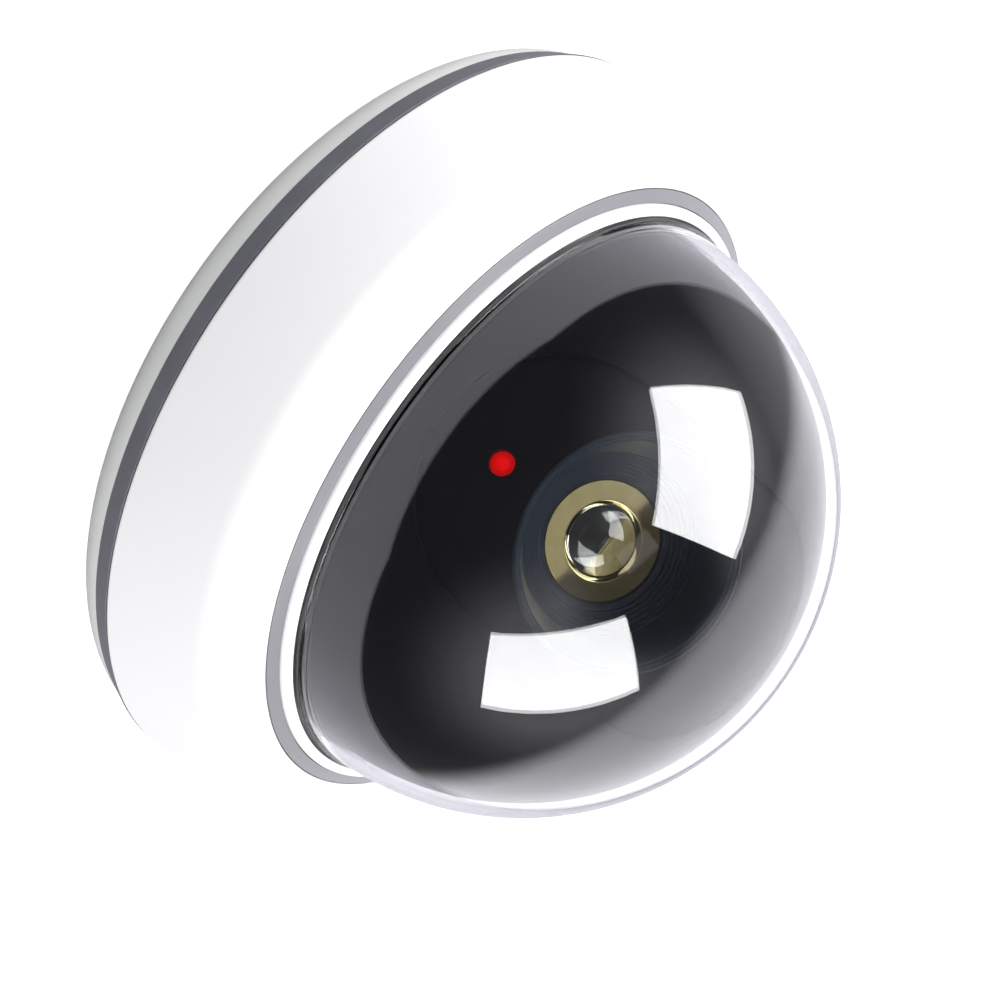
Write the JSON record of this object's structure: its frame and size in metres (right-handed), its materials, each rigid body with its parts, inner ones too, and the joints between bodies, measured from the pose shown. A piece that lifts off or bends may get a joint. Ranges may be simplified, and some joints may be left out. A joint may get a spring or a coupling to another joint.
{
  "type": "dome camera",
  "caption": "Ceiling dome camera look-alike: tapered white housing on a round base plate, clear dome over a black ball with a lens and a red light that pans and tilts.",
  "frame": {"origin": "centre of the flat back face of the base plate, which lies against the ceiling or stands on a table", "axes": "+Z runs through the top of the dome, away from the mounting face; the lens looks towards -Y and +Z at rest"},
  "size_m": [0.11, 0.11, 0.07],
  "materials": {
    "base_grey": "fine matt moulded plastic",
    "seal_grey": "satin dark grey",
    "housing_white": "satin white moulded plastic",
    "trim_grey": "satin grey",
    "clear_dome": "clear polished plastic",
    "seal_black": "matt",
    "ball_black": "satin black",
    "lens_black": "satin black",
    "inner_black": "matt",
    "gold_ring": "brushed pale gold",
    "lens_glass": "polished",
    "led_red": "clear red resin",
    "door_grey": "fine matt moulded plastic",
    "steel": "zinc plated",
    "cell_jacket": "plain printed jacket with no marking",
    "board_green": "solder mask",
    "chip_black": "matt epoxy",
    "capacitor": "sleeved can",
    "wire_red": "vinyl insulation"
  },
  "bodies": {
    "base": {"base_plate": "base_grey", "seal_ring": "seal_grey", "pan_ring": "inner_black", "pan_washer": "seal_black", "chassis_screws": "steel", "battery_holder": "inner_black", "holder_screws": "steel", "battery_cells": "cell_jacket", "battery_springs": "steel", "battery_contacts": "steel", "battery_door": "door_grey", "door_screw": "steel", "flasher_board": "board_green", "board_screws": "steel", "flasher_chip": "chip_black", "board_capacitor": "capacitor", "board_resistors": "chip_black", "switch_body": "inner_black", "battery_leads": "wire_red", "switch_leads": "wire_red"},
    "cover": {"housing": "housing_white", "step_ring": "trim_grey", "bezel_ring": "housing_white", "dome": "clear_dome", "dome_seal": "seal_black", "dome_retainer": "inner_black", "retainer_screws": "steel"},
    "shroud": {"shroud": "ball_black", "tilt_pins": "steel", "tilt_washers": "seal_black"},
    "eyeball": {"eyeball": "ball_black", "lens_dish": "lens_black", "lens_ring": "gold_ring", "lens_glass": "lens_glass", "lens_mirror": "gold_ring", "led": "led_red", "led_holder": "lens_black", "led_leads": "wire_red"},
    "switch_knob": {"switch_knob": "inner_black"}
  },
  "joints": [
    {"name": "cover_twist", "type": "hinge", "parent": "base", "child": "cover", "pos_m": [0, 0, 0.0092], "axis": [0, 0, 1], "range_deg": [0, 35]},
    {"name": "shroud_pan", "type": "hinge", "parent": "base", "child": "shroud", "pos_m": [0, 0, 0.0283], "axis": [0, 0, 1], "range_deg": [-170, 170]},
    {"name": "eyeball_tilt", "type": "hinge", "parent": "shroud", "child": "eyeball", "pos_m": [0, 0, 0.0283], "axis": [-1, 0, 0], "range_deg": [-8, 24], "deforming": ["led_leads"]},
    {"name": "switch_slide", "type": "slide", "parent": "base", "child": "switch_knob", "axis": [1, 0, 0], "range_m": [0, 0.002]}
  ]
}
